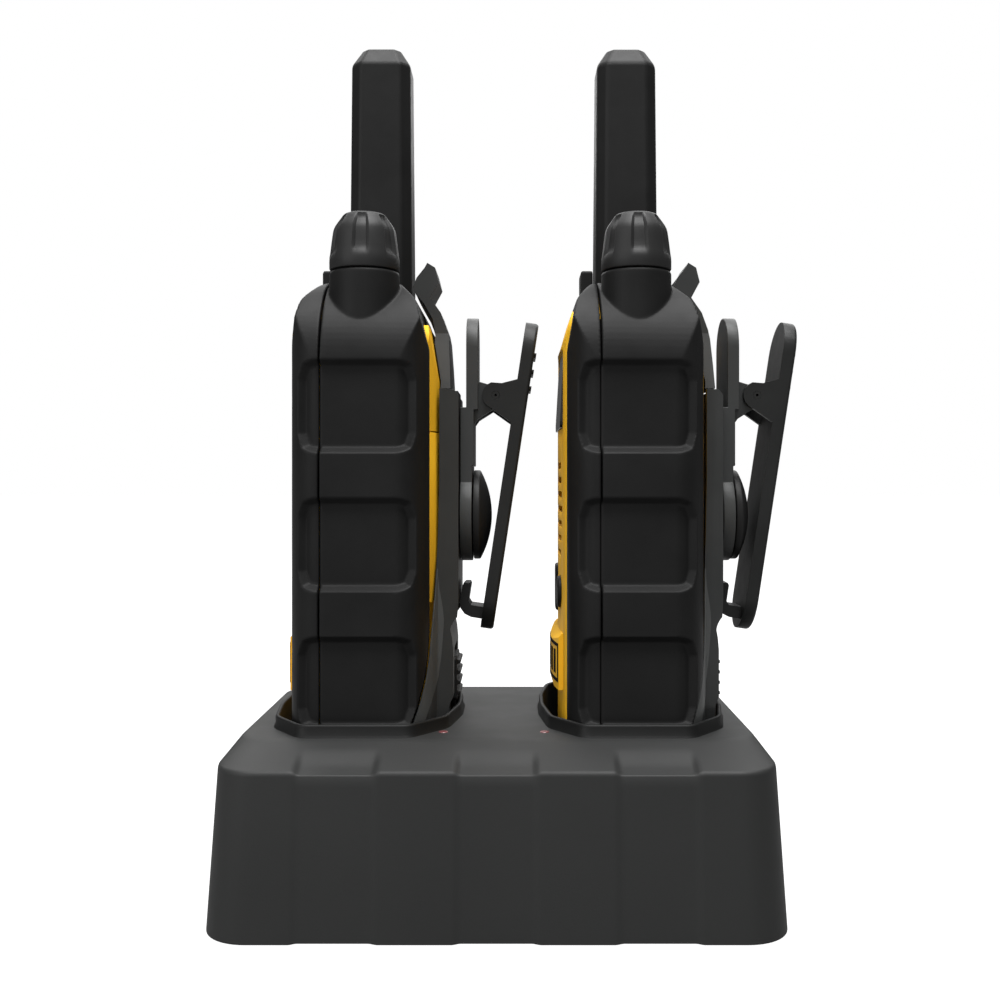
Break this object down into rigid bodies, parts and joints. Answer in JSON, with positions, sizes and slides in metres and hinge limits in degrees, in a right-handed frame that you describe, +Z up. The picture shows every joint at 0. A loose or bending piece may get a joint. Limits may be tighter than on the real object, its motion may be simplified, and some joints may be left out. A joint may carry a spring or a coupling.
{
  "type": "two way radio set",
  "caption": "Pair of rugged handheld two-way radios with belt clips, standing in a two-pocket desktop charging dock.",
  "frame": {"origin": "centre of the dock's underside, on the table surface", "axes": "+Z up; +X from the first radio towards the second, and the way both belt clips point; radios face -X; +Y towards the dock's inlet side"},
  "size_m": [0.1393, 0.0984, 0.214],
  "materials": {
    "dock_plastic": "fine matt texture",
    "yellow_plastic": "satin moulded",
    "rubber_skin": "soft matt overmould",
    "black_plastic": "fine matt texture",
    "knob_plastic": "fine matt texture",
    "grey_plastic": "satin moulded",
    "rubber": "matt",
    "steel": "plated",
    "gold": "polished plating",
    "board": "solder mask",
    "battery_sleeve": "shrink sleeve",
    "speaker_black": "matt",
    "lens": "clear over black",
    "led": "tinted lens"
  },
  "bodies": {
    "dock": {"dock_shell": "dock_plastic", "dock_base": "dock_plastic", "dock_board": "board", "contact_pins": "gold", "led_lenses": "led", "rubber_feet": "rubber", "base_screws": "steel", "power_jack": "steel"},
    "radio_1": {"front_housing_1": "yellow_plastic", "rear_housing_1": "yellow_plastic", "front_bumper_1": "rubber_skin", "rear_bumper_1": "rubber_skin", "battery_cover_1": "yellow_plastic", "battery_pack_1": "battery_sleeve", "antenna_1": "black_plastic", "volume_pot_1": "steel", "circuit_board_1": "board", "speaker_1": "speaker_black", "display_module_1": "speaker_black", "display_lens_1": "lens", "holster_1": "grey_plastic", "clip_stud_1": "black_plastic", "charge_contacts_1": "gold", "case_screws_1": "steel"},
    "knob_1": {"volume_knob_1": "knob_plastic"},
    "ptt_1": {"ptt_button_1": "rubber_skin"},
    "menu_1": {"menu_button_1": "rubber_skin"},
    "rocker_1": {"channel_rocker_1": "rubber_skin"},
    "tab_1": {"release_tab_1": "grey_plastic"},
    "clip_1": {"clip_base_1": "grey_plastic", "clip_pin_1": "steel", "clip_spring_1": "steel"},
    "arm_1": {"clip_arm_1": "grey_plastic"},
    "latch_1": {"battery_latch_1": "black_plastic"},
    "radio_2": {"front_housing_2": "yellow_plastic", "rear_housing_2": "yellow_plastic", "front_bumper_2": "rubber_skin", "rear_bumper_2": "rubber_skin", "battery_cover_2": "yellow_plastic", "battery_pack_2": "battery_sleeve", "antenna_2": "black_plastic", "volume_pot_2": "steel", "circuit_board_2": "board", "speaker_2": "speaker_black", "display_module_2": "speaker_black", "display_lens_2": "lens", "holster_2": "grey_plastic", "clip_stud_2": "black_plastic", "charge_contacts_2": "gold", "case_screws_2": "steel"},
    "knob_2": {"volume_knob_2": "knob_plastic"},
    "ptt_2": {"ptt_button_2": "rubber_skin"},
    "menu_2": {"menu_button_2": "rubber_skin"},
    "rocker_2": {"channel_rocker_2": "rubber_skin"},
    "tab_2": {"release_tab_2": "grey_plastic"},
    "clip_2": {"clip_base_2": "grey_plastic", "clip_pin_2": "steel", "clip_spring_2": "steel"},
    "arm_2": {"clip_arm_2": "grey_plastic"},
    "latch_2": {"battery_latch_2": "black_plastic"}
  },
  "joints": [
    {"name": "radio_1_lift", "type": "slide", "parent": "dock", "child": "radio_1", "axis": [0, 0, 1], "range_m": [0, 0.045]},
    {"name": "knob_1_turn", "type": "hinge", "parent": "radio_1", "child": "knob_1", "pos_m": [-0.032, -0.01885, 0.149], "axis": [0, 0, 1], "range_deg": [-270, 0]},
    {"name": "ptt_1_press", "type": "slide", "parent": "radio_1", "child": "ptt_1", "axis": [0, -1, 0], "range_m": [0, 0.0012], "stiffness_N_per_m": 1500, "springref_m": -0.0008},
    {"name": "menu_1_press", "type": "slide", "parent": "radio_1", "child": "menu_1", "axis": [1, 0, 0], "range_m": [0, 0.0008], "stiffness_N_per_m": 1500, "springref_m": -0.0006},
    {"name": "channel_1_rock", "type": "hinge", "parent": "radio_1", "child": "rocker_1", "pos_m": [-0.047, 0.006, 0.0718], "axis": [0, 1, 0], "range_deg": [-3, 3], "stiffness_Nm_per_rad": 0.2},
    {"name": "tab_1_flex", "type": "hinge", "parent": "radio_1", "child": "tab_1", "pos_m": [-0.0126, 0, 0.1224], "axis": [0, 1, 0], "range_deg": [0, 8], "stiffness_Nm_per_rad": 0.6, "springref_deg": -1.72},
    {"name": "clip_1_swivel", "type": "hinge", "parent": "radio_1", "child": "clip_1", "pos_m": [-0.008, 0, 0.0907], "axis": [1, 0, 0], "range_deg": [-90, 90]},
    {"name": "clip_1_open", "type": "hinge", "parent": "clip_1", "child": "arm_1", "pos_m": [-0.0008, 0, 0.1206], "axis": [0, -1, 0], "range_deg": [0, 13], "stiffness_Nm_per_rad": 0.15, "springref_deg": -8.59},
    {"name": "latch_1_slide", "type": "slide", "parent": "radio_1", "child": "latch_1", "axis": [0, 0, 1], "range_m": [0, 0.002]},
    {"name": "radio_2_lift", "type": "slide", "parent": "dock", "child": "radio_2", "axis": [0, 0, 1], "range_m": [0, 0.045]},
    {"name": "knob_2_turn", "type": "hinge", "parent": "radio_2", "child": "knob_2", "pos_m": [0.033, -0.01885, 0.149], "axis": [0, 0, 1], "range_deg": [-270, 0]},
    {"name": "ptt_2_press", "type": "slide", "parent": "radio_2", "child": "ptt_2", "axis": [0, -1, 0], "range_m": [0, 0.0012], "stiffness_N_per_m": 1500, "springref_m": -0.0008},
    {"name": "menu_2_press", "type": "slide", "parent": "radio_2", "child": "menu_2", "axis": [1, 0, 0], "range_m": [0, 0.0008], "stiffness_N_per_m": 1500, "springref_m": -0.0006},
    {"name": "channel_2_rock", "type": "hinge", "parent": "radio_2", "child": "rocker_2", "pos_m": [0.018, 0.006, 0.0718], "axis": [0, 1, 0], "range_deg": [-3, 3], "stiffness_Nm_per_rad": 0.2},
    {"name": "tab_2_flex", "type": "hinge", "parent": "radio_2", "child": "tab_2", "pos_m": [0.0524, 0, 0.1224], "axis": [0, 1, 0], "range_deg": [0, 8], "stiffness_Nm_per_rad": 0.6, "springref_deg": -1.72},
    {"name": "clip_2_swivel", "type": "hinge", "parent": "radio_2", "child": "clip_2", "pos_m": [0.057, 0, 0.0907], "axis": [1, 0, 0], "range_deg": [-90, 90]},
    {"name": "clip_2_open", "type": "hinge", "parent": "clip_2", "child": "arm_2", "pos_m": [0.0642, 0, 0.1206], "axis": [0, -1, 0], "range_deg": [0, 13], "stiffness_Nm_per_rad": 0.15, "springref_deg": -8.59},
    {"name": "latch_2_slide", "type": "slide", "parent": "radio_2", "child": "latch_2", "axis": [0, 0, 1], "range_m": [0, 0.002]}
  ]
}
